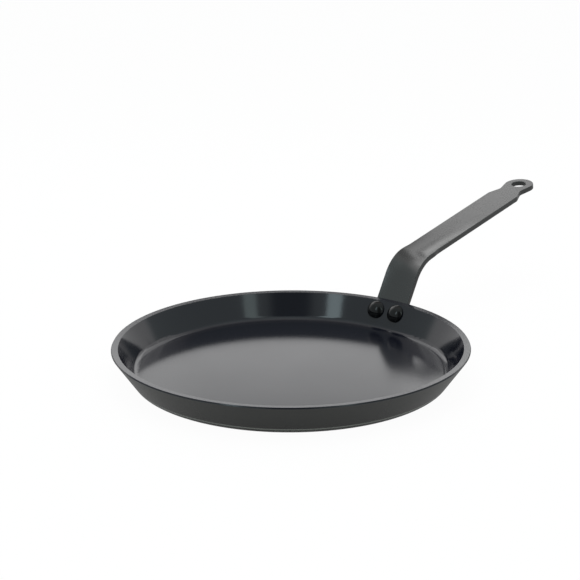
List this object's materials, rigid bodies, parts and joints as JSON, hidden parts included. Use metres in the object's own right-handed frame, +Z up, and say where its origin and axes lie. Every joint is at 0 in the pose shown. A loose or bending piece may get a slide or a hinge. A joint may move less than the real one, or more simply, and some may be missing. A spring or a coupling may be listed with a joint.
{
  "type": "crepe pan",
  "caption": "Shallow round crepe pan with a thick flared wall, a level turned rim and a bent strip handle riveted to its side, which ends in a hanging eye.",
  "frame": {"origin": "middle of the flat underside of the pan, on the pan's axis", "axes": "+Z up along the pan's axis, +X out along the handle, +Y to the left seen from the pan looking along the handle"},
  "size_m": [0.4672, 0.26, 0.0846],
  "materials": {
    "pan_coating": "smooth black non-stick coating over thick aluminium, semi-gloss, with a finely turned rim",
    "handle_coating": "satin dark grey coating over strip steel",
    "rivet_coating": "glossy black coating over a solid rivet"
  },
  "bodies": {
    "root": {"pan_body": "pan_coating", "handle": "handle_coating", "rivet_left": "rivet_coating", "rivet_right": "rivet_coating"}
  },
  "joints": []
}
